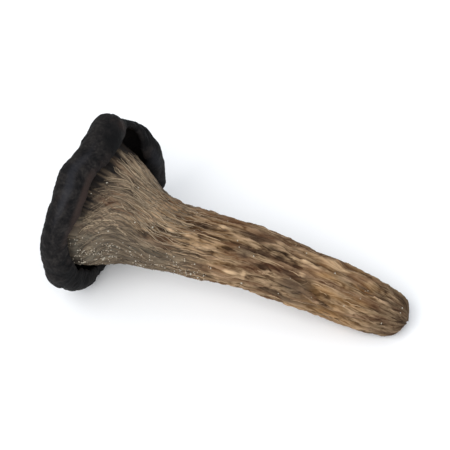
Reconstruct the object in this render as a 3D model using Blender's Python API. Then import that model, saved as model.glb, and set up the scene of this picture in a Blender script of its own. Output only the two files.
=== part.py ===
"""Black trumpet mushroom, picked and lying on its side.

The fruit body grew as one piece: a hollow stem that widens into a funnel, whose
brim is curled right back into a scroll. It is one closed shell. The outer skin
carries lengthwise wrinkles, and the inside is open down to a blind hollow in the
stem.

Sizes are in millimetres and turned to metres at the end. +X runs from the mouth to
the foot and +Z is up. The mushroom rests on Z = 0, on two lobes of its brim and on
its foot, and the origin is under the middle of its box. Round the funnel, a turn of
0 degrees is the top, 90 degrees is the +Y side and 180 degrees is underneath.
"""

import math

import bmesh
import bpy
from mathutils import Vector, noise

MM = 0.001

# The line through the middle of stem and funnel, from the foot's tip to the mouth
SPINE = [
    Vector((80.5, -1.2, 2.9)),
    Vector((61.0, -1.2, 10.3)),
    Vector((41.0, -0.9, 15.0)),
    Vector((20.5, -2.2, 18.8)),
    Vector((3.3, -0.3, 21.75)),
]
MOUTH_AT = 79.5

# The skin's radius at distances from the foot's tip, past the foot's rounded end
FOOT_LENGTH = 4.5
SKIN_RADII = [
    (4.5, 5.4),
    (8.5, 6.3),
    (14.0, 6.8),
    (20.0, 7.1),
    (27.0, 7.3),
    (38.0, 7.6),
    (50.0, 7.9),
    (56.5, 8.2),
    (62.0, 9.1),
    (67.0, 10.8),
    (72.0, 13.1),
    (76.0, 14.8),
]
FUNNEL_ENDS = SKIN_RADII[-1][0]

# The bell bends away from the stem's line: down, and to the -Y side
BELL_FROM = 56.0
BELL_NOD = 19.0
BELL_SWING = -7.0

# The brim curls back into a scroll, from one angle to another round its curl. The
# scroll's lobes, at every 15 degrees from underneath up the -Y side to the top and
# down again: how far its middle line stands ahead of the mouth and outside
# SCROLL_RADIUS, the curl's radius, and the angle at its edge.
SCROLL_RADIUS = 18.6
SCROLL_STARTS = 40.0
SCROLL_LOBES = [
    (2.8, -0.5, 3.0, 292.0),
    (3.4, 0.7, 2.8, 290.0),
    (2.5, 0.0, 3.2, 296.0),
    (2.0, -0.6, 3.3, 300.0),
    (1.7, -0.7, 3.4, 298.0),
    (1.3, -0.1, 3.3, 296.0),
    (1.3, 0.0, 3.2, 294.0),
    (1.4, 0.3, 3.0, 292.0),
    (0.9, 0.6, 2.9, 290.0),
    (0.1, 0.3, 3.1, 288.0),
    (-0.1, -0.4, 3.6, 290.0),
    (0.6, -0.7, 3.5, 280.0),
    (-0.7, -0.8, 3.4, 274.0),
    (-0.6, 0.2, 3.7, 284.0),
    (-0.3, 1.6, 3.6, 282.0),
    (0.5, 0.2, 2.8, 236.0),
    (0.2, 0.0, 2.8, 226.0),
    (-1.0, -0.3, 3.6, 296.0),
    (-2.4, -1.0, 4.0, 312.0),
    (-2.7, -0.8, 3.9, 316.0),
    (-2.3, -0.2, 3.8, 310.0),
    (-1.3, 0.4, 3.4, 294.0),
    (-0.1, 0.9, 3.4, 286.0),
    (1.2, 0.5, 3.5, 292.0),
]

WALL_STEM = 1.7
WALL_BRIM = 1.15
HOLLOW_FROM = 8.0
HOLLOW_END = 5.0

WRINKLE_HEIGHT = 0.7
WRINKLE_WIDTH = 1.9
WRINKLE_LENGTH = 15.0
FLUTE_HEIGHT = 0.45
CRIMP_HEIGHT = 0.35
FOOT_PUCKER = 0.5

COLUMNS = 88
FOOT_ROWS = 4
FUNNEL_ROWS = 23
SCROLL_ROWS = 9
INSIDE_ROWS = 10

SKIN_COLOUR = (0.205, 0.135, 0.085, 1.0)
SKIN_ROUGHNESS = 0.75


def ease(value, low, high):
    """0 at low and before it, 1 at high and after it, and a smooth rise between."""
    share = min(max((value - low) / (high - low), 0.0), 1.0)
    return share * share * (3.0 - 2.0 * share)


def through(points, at):
    """A smooth curve through points, where at counts the points from 0."""
    first = min(max(int(at), 0), len(points) - 2)
    share = at - first
    p1, p2 = points[first], points[first + 1]
    p0 = points[first - 1] if first > 0 else 2 * p1 - p2
    p3 = points[first + 2] if first + 2 < len(points) else 2 * p2 - p1
    return 0.5 * (
        2 * p1
        + (p2 - p0) * share
        + (2 * p0 - 5 * p1 + 4 * p2 - p3) * share**2
        + (3 * p1 - p0 - 3 * p2 + p3) * share**3
    )


def noise_round(turn, scale, lengthwise):
    """Smooth noise on the skin, without a seam: scale sets how fine it is round it."""
    angle = math.radians(turn)
    return noise.noise(Vector((math.cos(angle) * scale, math.sin(angle) * scale, lengthwise)))


def scroll_lobe(turn):
    """The values of SCROLL_LOBES at any turn, on a smooth curve through them."""
    at = (turn + 180.0) % 360.0 / 360.0 * len(SCROLL_LOBES)
    first = int(at)
    nearest = [SCROLL_LOBES[(first + step) % len(SCROLL_LOBES)] for step in (-1, 0, 1, 2)]
    return [through(values, 1.0 + at - first) for values in zip(*nearest)]


def skin_radius(along):
    """The skin's radius at a distance from the foot's tip, without its wrinkles."""
    if along < FOOT_LENGTH:
        share = 1.0 - along / FOOT_LENGTH
        return SKIN_RADII[0][1] * math.sqrt(max(1.0 - share * share, 0.0))
    station = 0
    while station < len(SKIN_RADII) - 2 and along > SKIN_RADII[station + 1][0]:
        station += 1
    low, high = SKIN_RADII[station][0], SKIN_RADII[station + 1][0]
    return through([radius for _, radius in SKIN_RADII], station + (along - low) / (high - low))


def wrinkles(turn, along, radius):
    """The height of the lengthwise wrinkles, which grow in number up the funnel."""
    lengthwise = along / WRINKLE_LENGTH
    wander = math.degrees(0.5 * noise_round(turn, 1.0, lengthwise))
    few = skin_radius(SKIN_RADII[4][0]) / WRINKLE_WIDTH
    height = 0.0
    grown = ease(radius, 8.5, 13.0)
    for scale, share in ((few, 1.0 - grown), (1.6 * few, grown)):
        height += share * (0.5 - 1.8 * abs(noise_round(turn + wander, scale, lengthwise + scale)))
    return WRINKLE_HEIGHT * height


def flutes(turn, along):
    """The broad folds of the funnel, which both sides of the wall share."""
    grown = 0.4 + 0.9 * ease(along, BELL_FROM, FUNNEL_ENDS)
    return FLUTE_HEIGHT * grown * 1.6 * noise_round(turn, 1.7, along / 30.0 + 7.0)


def pucker(turn, along):
    """The gathered folds of the foot's end."""
    return FOOT_PUCKER * ease(-along, -9.0, -1.0) * math.cos(math.radians(5.0 * turn + 40.0))


def frame_at(along):
    """(centre, forward, up, side) of the section at a distance from the foot's tip."""
    steps = len(SPINE) - 1
    reach = min(along, MOUTH_AT)
    at = reach / MOUTH_AT * steps
    ahead, behind = min(at + 0.05, steps), at - 0.05
    forward = (through(SPINE, ahead) - through(SPINE, behind)).normalized()
    up = (Vector((0.0, 0.0, 1.0)) - forward * forward.z).normalized()
    side = forward.cross(up)
    bent = ease(reach, BELL_FROM, MOUTH_AT)
    nod, swing = math.radians(BELL_NOD) * bent, math.radians(BELL_SWING) * bent
    forward, up = (
        forward * math.cos(nod) - up * math.sin(nod),
        up * math.cos(nod) + forward * math.sin(nod),
    )
    forward, side = (
        forward * math.cos(swing) - side * math.sin(swing),
        side * math.cos(swing) + forward * math.sin(swing),
    )
    return through(SPINE, at), forward, up, side


def placed(along, radius, turn, section):
    """The point at a radius and turn, in the plane of the section at a distance along."""
    centre, forward, up, side = frame_at(section)
    angle = math.radians(turn)
    return centre + forward * (along - section) + radius * (math.cos(angle) * up + math.sin(angle) * side)


def settled(point, depth=0.0):
    """The flesh gives where it rests, which leaves small flats at Z = 0."""
    return Vector((point.x, point.y, max(point.z, depth)))


def funnel_point(turn, along, depth, height=0.0):
    """A point of the wall below the scroll, at a depth under the skin."""
    advance, spread = scroll_lobe(turn)[:2]
    bell = ease(along, BELL_FROM, MOUTH_AT)
    radius = skin_radius(along) + spread * bell + flutes(turn, along) - depth + height
    at = along + advance * bell
    return settled(placed(at, radius, turn, min(at, MOUTH_AT)), depth)


def scroll_point(turn, angle, side):
    """A point of the scroll: side is -1 on the skin, 0 at the brim's edge, 1 inside."""
    advance, spread, curl = scroll_lobe(turn)[:3]
    crimped = ease(angle, SCROLL_STARTS, 120.0)
    curl += CRIMP_HEIGHT * noise_round(turn, 5.0, angle / 60.0) * crimped + side * WALL_BRIM / 2.0
    bearing = math.radians(angle)
    along = MOUTH_AT + advance + curl * math.sin(bearing)
    radius = SCROLL_RADIUS + spread - curl * math.cos(bearing)
    return settled(placed(along, radius, turn, MOUTH_AT), (1 - side) * WALL_BRIM / 2.0)


def skin_column(turn):
    """The skin's points at one turn, from beside the foot's tip to the brim's edge."""
    points = []
    foot_alongs = [
        FOOT_LENGTH * (1.0 - math.cos(math.radians(90.0 * row / FOOT_ROWS)))
        for row in range(1, FOOT_ROWS + 1)
    ]
    funnel_alongs = [
        FOOT_LENGTH + (FUNNEL_ENDS - FOOT_LENGTH) * row / FUNNEL_ROWS
        for row in range(1, FUNNEL_ROWS + 1)
    ]
    for along in foot_alongs + funnel_alongs:
        faded = ease(along, 0.0, 5.0) * ease(-along, -FUNNEL_ENDS - 6.0, -FUNNEL_ENDS + 4.0)
        height = faded * wrinkles(turn, along, skin_radius(along)) + pucker(turn, along)
        points.append(funnel_point(turn, along, 0.0, height * min(1.0, along)))
    step = (scroll_lobe(turn)[3] - SCROLL_STARTS) / SCROLL_ROWS
    for row in range(SCROLL_ROWS + 1):
        points.append(scroll_point(turn, SCROLL_STARTS + step * row, -1))
    return points


def inside_column(turn):
    """The inner wall's points at one turn, from the brim's edge to the hollow's end."""
    curl, end = scroll_lobe(turn)[2:]
    points = [scroll_point(turn, end + math.degrees(WALL_BRIM / 2.0 / curl), 0)]
    step = (end - SCROLL_STARTS) / SCROLL_ROWS
    for row in range(SCROLL_ROWS + 1):
        points.append(scroll_point(turn, end - step * row, 1))
    for row in range(INSIDE_ROWS):
        along = FUNNEL_ENDS - (FUNNEL_ENDS - HOLLOW_FROM - HOLLOW_END) * row / (INSIDE_ROWS - 1)
        wall = WALL_STEM + (WALL_BRIM - WALL_STEM) * ease(along, 40.0, FUNNEL_ENDS)
        points.append(funnel_point(turn, along, wall))
    for bearing in (35.0, 65.0):
        along = HOLLOW_FROM + HOLLOW_END * (1.0 - math.sin(math.radians(bearing)))
        room = skin_radius(along) - WALL_STEM
        points.append(placed(along, room * math.cos(math.radians(bearing)), turn, along))
    return points


def shell_rings():
    """Rings of points from the foot's tip, over the brim's edge, to the hollow's end."""
    turns = [360.0 * column / COLUMNS for column in range(COLUMNS)]
    return list(zip(*[skin_column(turn) + inside_column(turn) for turn in turns]))


def under_middle(rings):
    """The point at Z = 0 under the middle of the rings' box."""
    xs = [point.x for ring in rings for point in ring]
    ys = [point.y for ring in rings for point in ring]
    return Vector(((min(xs) + max(xs)) / 2.0, (min(ys) + max(ys)) / 2.0, 0.0))


def loft(name, rings, first_tip, last_tip):
    """A closed mesh through rings of points, with a point at each end."""
    origin = under_middle(rings)
    shell = bmesh.new()
    verts = [[shell.verts.new((point - origin) * MM) for point in ring] for ring in rings]
    first, last = (shell.verts.new((tip - origin) * MM) for tip in (first_tip, last_tip))
    for column in range(COLUMNS):
        after = (column + 1) % COLUMNS
        shell.faces.new((first, verts[0][after], verts[0][column]))
        shell.faces.new((last, verts[-1][column], verts[-1][after]))
        for low, high in zip(verts, verts[1:]):
            shell.faces.new((low[column], low[after], high[after], high[column]))
    bmesh.ops.recalc_face_normals(shell, faces=shell.faces)
    mesh = bpy.data.meshes.new(name)
    shell.to_mesh(mesh)
    shell.free()
    mesh.shade_smooth()
    return mesh


def skin_material():
    material = bpy.data.materials.new("mushroom_skin")
    material.use_nodes = True
    shader = material.node_tree.nodes["Principled BSDF"]
    shader.inputs["Base Color"].default_value = SKIN_COLOUR
    shader.inputs["Roughness"].default_value = SKIN_ROUGHNESS
    shader.inputs["Metallic"].default_value = 0.0
    return material


def main():
    for old in list(bpy.data.objects):
        bpy.data.objects.remove(old, do_unlink=True)
    collection = bpy.data.collections.new("black_trumpet_mushroom")
    bpy.context.scene.collection.children.link(collection)
    foot_tip = frame_at(0.0)[0]
    hollow_tip = frame_at(HOLLOW_FROM)[0]
    mesh = loft("fruit_body", shell_rings(), foot_tip, hollow_tip)
    mesh.materials.append(skin_material())
    collection.objects.link(bpy.data.objects.new("fruit_body", mesh))


main()
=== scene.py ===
"""Black trumpet mushroom, picked and lying on its side: the looks of its fruit body.

The fruit body is one shell. Its brown skin is fibrous and wrinkled lengthwise, and its
inner side, which the curled brim shows, is black and velvety. The shell is lofted again
on a fine lattice from the same formulas as its solid, with the same sizes in
millimetres, and Geometry Nodes raise its fibres, grooves, dents and grain. Fibrils that
stand off the skin, and the grit on it, are pieces of their own.

Round the funnel, a turn of 0 degrees is the top, 90 degrees is the +Y side and 180
degrees is underneath. A distance along is measured from the foot's tip.
"""

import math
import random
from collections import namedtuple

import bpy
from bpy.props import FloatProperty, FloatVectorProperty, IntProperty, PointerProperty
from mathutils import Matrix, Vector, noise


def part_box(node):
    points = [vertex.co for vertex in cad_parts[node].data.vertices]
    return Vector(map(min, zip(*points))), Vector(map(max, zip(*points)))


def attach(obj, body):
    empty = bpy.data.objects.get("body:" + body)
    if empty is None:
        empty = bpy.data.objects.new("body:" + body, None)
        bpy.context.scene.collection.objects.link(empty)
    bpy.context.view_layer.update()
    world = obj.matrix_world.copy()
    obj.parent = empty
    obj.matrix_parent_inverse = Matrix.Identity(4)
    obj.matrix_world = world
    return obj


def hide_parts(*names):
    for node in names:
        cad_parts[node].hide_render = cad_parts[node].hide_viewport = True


bl_info = {
    "name": "Trumpet Mushroom",
    "version": (1, 0, 0),
    "blender": (4, 5, 0),
    "location": "3D Viewport > Sidebar > Mushroom",
    "description": "Grows the flesh, fibrils and grit of a trumpet mushroom, and lights it",
    "category": "Add Mesh",
}

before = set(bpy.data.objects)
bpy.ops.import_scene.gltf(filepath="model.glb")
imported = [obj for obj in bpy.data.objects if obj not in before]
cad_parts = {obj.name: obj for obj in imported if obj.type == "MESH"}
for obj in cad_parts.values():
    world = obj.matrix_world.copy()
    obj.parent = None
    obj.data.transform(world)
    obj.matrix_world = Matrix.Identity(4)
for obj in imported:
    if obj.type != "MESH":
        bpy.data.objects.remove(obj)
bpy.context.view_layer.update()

NODE = "fruit_body"
BODY = "root"
TRUMPET = "trumpet"

MM = 0.001

# A full turn in radians, for angles that are drawn at random
FULL_TURN = 6.3

# The form, as its solid has it, in millimetres and degrees
SPINE = [
    Vector((80.5, -1.2, 2.9)),
    Vector((61.0, -1.2, 10.3)),
    Vector((41.0, -0.9, 15.0)),
    Vector((20.5, -2.2, 18.8)),
    Vector((3.3, -0.3, 21.75)),
]
MOUTH_AT = 79.5
FOOT_LENGTH = 4.5
SKIN_RADII = [
    (4.5, 5.4),
    (8.5, 6.3),
    (14.0, 6.8),
    (20.0, 7.1),
    (27.0, 7.3),
    (38.0, 7.6),
    (50.0, 7.9),
    (56.5, 8.2),
    (62.0, 9.1),
    (67.0, 10.8),
    (72.0, 13.1),
    (76.0, 14.8),
]
FUNNEL_ENDS = SKIN_RADII[-1][0]
BELL_FROM = 56.0
BELL_NOD = 19.0
BELL_SWING = -7.0

# Every 15 degrees round the brim, from underneath up the -Y side to the top and down
# again: how far the scroll's middle line stands ahead of the mouth and outside
# SCROLL_RADIUS, the curl's radius, and the angle at its edge
SCROLL_RADIUS = 18.6
SCROLL_STARTS = 40.0
SCROLL_LOBES = [
    (2.8, -0.5, 3.0, 292.0),
    (3.4, 0.7, 2.8, 290.0),
    (2.5, 0.0, 3.2, 296.0),
    (2.0, -0.6, 3.3, 300.0),
    (1.7, -0.7, 3.4, 298.0),
    (1.3, -0.1, 3.3, 296.0),
    (1.3, 0.0, 3.2, 294.0),
    (1.4, 0.3, 3.0, 292.0),
    (0.9, 0.6, 2.9, 290.0),
    (0.1, 0.3, 3.1, 288.0),
    (-0.1, -0.4, 3.6, 290.0),
    (0.6, -0.7, 3.5, 280.0),
    (-0.7, -0.8, 3.4, 274.0),
    (-0.6, 0.2, 3.7, 284.0),
    (-0.3, 1.6, 3.6, 282.0),
    (0.5, 0.2, 2.8, 236.0),
    (0.2, 0.0, 2.8, 226.0),
    (-1.0, -0.3, 3.6, 296.0),
    (-2.4, -1.0, 4.0, 312.0),
    (-2.7, -0.8, 3.9, 316.0),
    (-2.3, -0.2, 3.8, 310.0),
    (-1.3, 0.4, 3.4, 294.0),
    (-0.1, 0.9, 3.4, 286.0),
    (1.2, 0.5, 3.5, 292.0),
]
CURL_RADIUS = 3.4
WALL_STEM = 1.7
WALL_BRIM = 1.15
WALL_THINS = 40.0
HOLLOW_FROM = 8.0
HOLLOW_END = 5.0
WRINKLE_HEIGHT = 0.7
WRINKLE_WIDTH = 1.9
WRINKLE_LENGTH = 15.0
FLUTE_HEIGHT = 0.45
CRIMP_HEIGHT = 0.35
FOOT_PUCKER = 0.5

# Single marks on the skin: the attribute's channel, the distance along and turn of its
# middle, its half length and half width, and how far it is raised, in millimetres and
# degrees
# PALE marks are pale streaks of wear, and partly painted highlight on the stem's upper side
DARK, PALE, GREY = 0, 1, 2
MARKS = [
    (DARK, 40.0, 8.0, 4.5, 1.2, -0.15),
    (DARK, 36.8, -18.5, 2.3, 0.55, -0.8),
    (DARK, 33.3, -14.0, 1.7, 0.5, -0.6),
    (DARK, 36.5, -43.0, 2.8, 0.45, -0.45),
    (DARK, 34.5, -2.0, 3.2, 0.35, -0.4),
    (DARK, 57.0, -30.0, 3.5, 0.5, -0.3),
    (DARK, 52.5, 0.0, 4.5, 0.35, -0.35),
    (DARK, 47.0, -16.0, 4.0, 0.3, -0.35),
    (DARK, 24.0, 2.0, 2.4, 0.4, -0.35),
    (DARK, 29.5, -92.0, 7.0, 0.9, -0.1),
    (DARK, 66.0, -96.0, 2.2, 0.45, -0.3),
    (DARK, 61.5, -101.0, 2.8, 0.4, -0.35),
    (DARK, 57.0, -94.0, 2.4, 0.35, -0.3),
    (DARK, 53.0, -103.0, 2.6, 0.4, -0.35),
    (DARK, 48.5, -98.0, 2.2, 0.4, -0.3),
    (PALE, 20.6, 17.0, 4.2, 1.0, 0.25),
    (PALE, 26.5, -4.0, 4.2, 0.6, 0.1),
    (PALE, 47.0, 6.0, 1.9, 0.6, 0.35),
    (PALE, 27.0, -30.0, 0.8, 0.6, 0.3),
    (PALE, 40.0, -68.0, 0.5, 0.9, 0.12),
    (PALE, 43.5, -70.0, 1.5, 0.5, 0.12),
    (GREY, 27.0, -55.0, 4.6, 3.2, -0.1),
    (GREY, 41.0, -28.0, 2.5, 1.6, -0.05),
]

# Marks on the brim's black side: jet black as painted shade where the curl is deep, a
# painted bluish sheen where it is also less rough, and umber. Each has its turn, its angle
# round the curl, and half its reach in both
PAINTED_SHADE, PAINTED_SHEEN, UMBER = 0, 1, 2
BRIM_MARKS = [
    (PAINTED_SHADE, -118.0, 262.0, 30.0, 60.0),
    (PAINTED_SHADE, 18.0, 245.0, 12.0, 40.0),
    (PAINTED_SHADE, 62.0, 225.0, 30.0, 70.0),
    (PAINTED_SHADE, 110.0, 315.0, 40.0, 25.0),
    (PAINTED_SHEEN, 86.0, 275.0, 10.0, 18.0),
    (PAINTED_SHEEN, -25.0, 190.0, 26.0, 16.0),
    (UMBER, 38.0, 232.0, 12.0, 22.0),
    (UMBER, -28.0, 258.0, 18.0, 18.0),
]

# Where the edge of the curl is brown: the middle turn and half the reach, and how far
# from the edge it starts and is full, in degrees round the curl
BROWN_TURN = -40.0
BROWN_HALF = 27.0
BROWN_FROM_EDGE = (55.0, 15.0)

# The fibres bend as they go up the lower side of the funnel: over, and back near the brim
BEND_TURN = -55.0
BEND_OVER = 20.0
BEND_BACK = -36.0
BEND_AT = 69.0
BEND_FROM = 58.0
BEND_TO = 77.0

# Strands of the funnel that stand out, from the brim down: distances along, and turns.
# Then the fibrils in each, their steps from one place to the next, how far aside in
# millimetres they lie, how pale they may be, and where they start and end, as shares of
# the strand
STRANDS = [
    [(75.5, 12.0), (74.0, 10.0), (71.5, 10.0), (68.5, 6.0), (65.5, 4.0), (62.5, 0.0)],
    [(75.5, 24.0), (73.5, 22.0), (71.0, 20.0), (69.0, 20.0), (67.0, 20.0), (64.5, 24.0)],
    [(75.5, -48.0), (74.5, -44.0), (71.5, -36.0), (69.0, -32.0), (66.5, -36.0), (62.0, -52.0)],
    [(74.5, -50.0), (72.5, -44.0), (70.0, -40.0), (68.5, -46.0), (66.5, -52.0), (65.0, -56.0)],
    [(75.5, -68.0), (74.5, -58.0), (73.0, -52.0), (71.5, -46.0)],
]
STRAND_FIBRILS = 6
STRAND_STEPS = 5
STRAND_HALF = 0.4
STRAND_PALEST = 1.5
STRAND_STARTS = (0.0, 0.3)
STRAND_ENDS = (0.7, 1.0)

# Loose fibrils: the share on the funnel, where those on it and on the stem start, their
# lengths as shares of the longest, how far they bend and wave aside, how much straighter
# and shorter they are on the stem, and the longest step and lowest point of their chains
FUNNEL_SHARE = 0.85
FUNNEL_STARTS = (42.0, 74.0, 66.0)
STEM_STARTS = (7.0, 70.0)
FIBRIL_LENGTHS = (0.3, 1.0)
FIBRIL_BEND = 2.0
FIBRIL_WAVES = (0.05, 0.35)
STEM_BENDS = 0.3
STEM_LENGTHS = 0.6
FIBRIL_STEP = 0.8
FIBRIL_LOWEST = 0.1

# The radii between which the wrinkles fork, into how many times as many
FORK_RADII = (8.5, 13.0)
FORKED = 1.6

# Where the funnel's own skin starts, at distances along and at radii of the skin
FUNNEL_SKIN = (44.0, 60.0)
FLARE_RADII = (8.3, 12.5)

# The middle turns of the skin's grey bloom, its red-brown far side, which is partly painted
# shade, and its flakes, and the cosines from those turns at which each starts and is full
BLOOM_TURN, BLOOM_SIDE = -100.0, (0.4, 0.95)
RUST_AND_SHADE_TURN, RUST_AND_SHADE_SIDE = 55.0, (0.45, 0.95)
FLAKY_TURN, FLAKY_SIDE = -112.0, (0.6, 0.95)

# Where along the skin a tint starts, is full, fades and is gone
RUST_AND_SHADE_BAND = (10.0, 26.0, 60.0, 70.0)
WARM_BAND = (6.0, 14.0, 20.0, 32.0)
LESS_WARM_BAND = (38.0, 46.0, 52.0, 62.0)

# Where along the flakes start and are full, where the soil is full and gone, the shares
# of both that are everywhere, and where the skin's darkening next to the scroll is full:
# painted shade under the curl, partly the skin's own darker margin
FLAKES_FROM = (40.0, 54.0)
SOIL_TO = (2.0, 11.0)
STRAY_SOIL = 0.02
STRAY_FLAKES = 0.012
SHADE_AND_DARKENING_TO = 76.8
SHADE_AND_DARKENING_FADE = 6.0

# The loft's rows at the foot's rounded tip, round the brim's edge and at the blind end
FOOT_ROWS = 10
EDGE_ROWS = 3
BLIND_BEARINGS = (18.0, 36.0, 54.0, 72.0)


def sr(value):
    """An sRGB hex colour, such as 0x7F6A52, as a linear RGBA colour."""
    channels = [(value >> shift & 0xFF) / 255.0 for shift in (16, 8, 0)]
    linear = [c / 12.92 if c <= 0.04045 else ((c + 0.055) / 1.055) ** 2.4 for c in channels]
    return (*linear, 1.0)


def size_of(name, description, metres):
    """A length that the user may change."""
    return FloatProperty(
        name=name, description=description, default=metres, min=0.0, subtype="DISTANCE", unit="LENGTH"
    )


def relief_of(name, description, width, length, height):
    """A layer of relief that the user may change: width, length and height in metres."""
    return FloatVectorProperty(
        name=name,
        description=description + ": width, length and height",
        default=(width * MM, length * MM, height * MM),
        size=3,
        precision=5,
        subtype="XYZ_LENGTH",
        unit="LENGTH",
    )


def tint_of(name, description, value):
    """A colour that the user may change, given as sRGB hex."""
    return FloatVectorProperty(
        name=name, description=description, default=sr(value), size=4, min=0.0, max=1.0, subtype="COLOR"
    )


class TrumpetLattice(bpy.types.PropertyGroup):
    """How finely the flesh is lofted, and how ragged its edge is."""

    columns: IntProperty(
        name="Columns", description="Columns of the loft round the funnel", default=320, min=88
    )
    funnel_rows: IntProperty(
        name="Funnel rows", description="Rows of the skin from foot to brim", default=150, min=23
    )
    scroll_rows: IntProperty(
        name="Scroll rows", description="Rows of the black side round the curl", default=38, min=9
    )
    inside_rows: IntProperty(
        name="Inside rows", description="Rows of the black side down the funnel", default=44, min=10
    )
    ragged: FloatProperty(
        name="Ragged edge",
        description="How far the brim's edge waves, in degrees of its curl",
        default=14.0,
    )


class TrumpetRelief(bpy.types.PropertyGroup):
    """The relief that Geometry Nodes raise on the flesh."""

    stem_fibres: relief_of("Stem fibres", "Ridges of fibre along the stem", 0.8, 7.0, 0.11)
    stem_threads: relief_of("Stem threads", "Finer ridges between the fibres", 0.4, 3.5, 0.05)
    stem_grooves: relief_of("Stem grooves", "Short splits in the dried skin", 0.6, 4.5, 0.26)
    stem_creases: relief_of("Stem creases", "Low folds across the stem", 4.0, 1.3, 0.04)
    stem_nubs: relief_of("Stem nubs", "Small humps of the skin", 1.6, 2.2, 0.05)
    stem_dents: relief_of("Stem dents", "Broad hollows where the stem shrank", 6.5, 9.0, 0.3)
    stem_cracks: relief_of("Stem cracks", "Long narrow cracks between the wrinkles", 2.4, 10.0, 0.28)
    flare_fibres: relief_of("Flare fibres", "Ridges of fibre that fan out up the funnel", 1.1, 8.0, 0.18)
    flare_threads: relief_of("Flare threads", "Finer ridges between the fibres", 0.5, 5.0, 0.08)
    flare_grooves: relief_of("Flare grooves", "Short splits in the funnel's skin", 0.6, 4.0, 0.22)
    flare_dents: relief_of("Flare dents", "Broad hollows of the funnel", 7.0, 7.0, 0.3)
    lining_dents: relief_of("Lining dents", "Hollows of the black side", 5.0, 4.0, 0.2)
    lining_knobs: relief_of("Lining knobs", "Knobs along the rolled brim", 3.0, 3.0, 0.1)
    lining_creases: relief_of("Lining creases", "Folds that run over the brim", 1.8, 8.0, 0.06)
    lining_grain: relief_of("Lining grain", "Granules of the velvety black side", 0.75, 0.75, 0.05)


class TrumpetFibrils(bpy.types.PropertyGroup):
    """Loose fibrils that lie along the skin."""

    count: IntProperty(name="Count", description="Number of fibrils", default=1100, min=0)
    seed: IntProperty(name="Seed", description="Seed of their places", default=7)
    thickness: size_of("Thickness", "Diameter at the middle of a fibril", 0.00022)
    length: size_of("Length", "Length of the longest fibril", 0.01)
    lift: size_of("Lift", "How far the free ends stand off", 0.0003)


class TrumpetGrit(bpy.types.PropertyGroup):
    """Soil and pale flakes that cling to the skin."""

    soil_density: FloatProperty(
        name="Soil density", description="Grains per square mm at most", default=1.1
    )
    soil_size: size_of("Soil size", "Radius of the largest grain", 0.00022)
    flake_density: FloatProperty(
        name="Flake density", description="Flakes per square mm at most", default=1.7
    )
    flake_size: size_of("Flake size", "Radius of the largest flake", 0.00036)
    seed: IntProperty(name="Seed", description="Seed of their places", default=3)


class TrumpetColours(bpy.types.PropertyGroup):
    """Colours of the dried flesh."""

    groove: tint_of("Groove", "Bottom of the skin's grooves", 0x2A1D15)
    bark: tint_of("Bark", "Darker fibres of the stem", 0x5C4733)
    tan: tint_of("Tan", "The stem's skin", 0x867056)
    straw: tint_of("Straw", "Raised fibres of the stem", 0xA58A6E)
    # On the pale marks this cream is partly painted highlight
    cream: tint_of("Cream", "Worn streaks", 0xC9AA86)
    ochre: tint_of("Ochre", "Warmer parts of the stem", 0x9E7648)
    # On the stem's far side this red-brown is partly painted shade
    rust: tint_of("Rust", "Red-brown patches and the stem's far side", 0x553523)
    flare_deep: tint_of("Flare deep", "Bottom of the funnel's grooves", 0x30271F)
    flare_dark: tint_of("Flare dark", "Darker fibres of the funnel", 0x4E4236)
    flare: tint_of("Flare", "The funnel's skin", 0x70604F)
    flare_pale: tint_of("Flare pale", "Raised fibres of the funnel", 0x8F7C65)
    flare_cream: tint_of("Flare cream", "Worn fibres of the funnel", 0xB09C80)
    olive: tint_of("Olive", "Greyish bloom on the funnel's lower side", 0x5E5B51)
    # Char is also laid over the black side as painted shade where the curl is deep
    char: tint_of("Char", "Hollows of the black side", 0x0A0A0B)
    velvet: tint_of("Velvet", "The black side", 0x191717)
    nap: tint_of("Nap", "Raised grain of the black side", 0x2C2927)
    # This bluish tint is a painted sheen on the black side
    sheen: tint_of("Sheen", "Rubbed, bluish parts of the black side", 0x2A2B31)
    umber: tint_of("Umber", "Brownish parts of the black side", 0x362B27)
    soil: tint_of("Soil", "Grains of soil", 0x3A2C22)
    flake: tint_of("Flake", "Pale flakes", 0xBDB8AA)


class TrumpetStage(bpy.types.PropertyGroup):
    """The floor, lights and camera."""

    azimuth: FloatProperty(
        name="Azimuth",
        description="Camera's turn from straight ahead",
        default=math.radians(15.2),
        subtype="ANGLE",
        unit="ROTATION",
    )
    elevation: FloatProperty(
        name="Elevation",
        description="Camera's angle above the floor",
        default=math.radians(55.0),
        subtype="ANGLE",
        unit="ROTATION",
    )
    distance: size_of("Distance", "From the camera to the mushroom", 3.0)
    fill: FloatProperty(
        name="Fill", description="Share of the picture that the mushroom fills", default=0.82
    )
    floor: tint_of("Floor", "The pale floor", 0xFAFAFA)
    sky: tint_of("Sky", "Soft light from all round", 0xF3F7FC)
    sky_strength: FloatProperty(
        name="Sky strength", description="Strength of the soft light", default=0.92
    )
    lamp_power: FloatProperty(
        name="Lamp power", description="Power of the soft lamp", default=7.5, subtype="POWER", unit="POWER"
    )
    lamp_size: size_of("Lamp size", "Width of the soft lamp", 0.8)


def ease(value, low, high):
    """0 at low and before it, 1 at high and after it, and a smooth rise between."""
    share = min(max((value - low) / (high - low), 0.0), 1.0)
    return share * share * (3.0 - 2.0 * share)


def span(value, low, full, falls, gone):
    """0 up to low and from gone on, 1 from full to falls, and smooth between."""
    return ease(value, low, full) * ease(-value, -gone, -falls)


def apart(turn, other):
    """How far one turn is past another, in degrees, the short way round."""
    return (turn - other + 180.0) % 360.0 - 180.0


def facing(turn, middle):
    """1 on the side of a middle turn, 0 a quarter turn away and -1 on the other side."""
    return math.cos(math.radians(turn - middle))


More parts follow.
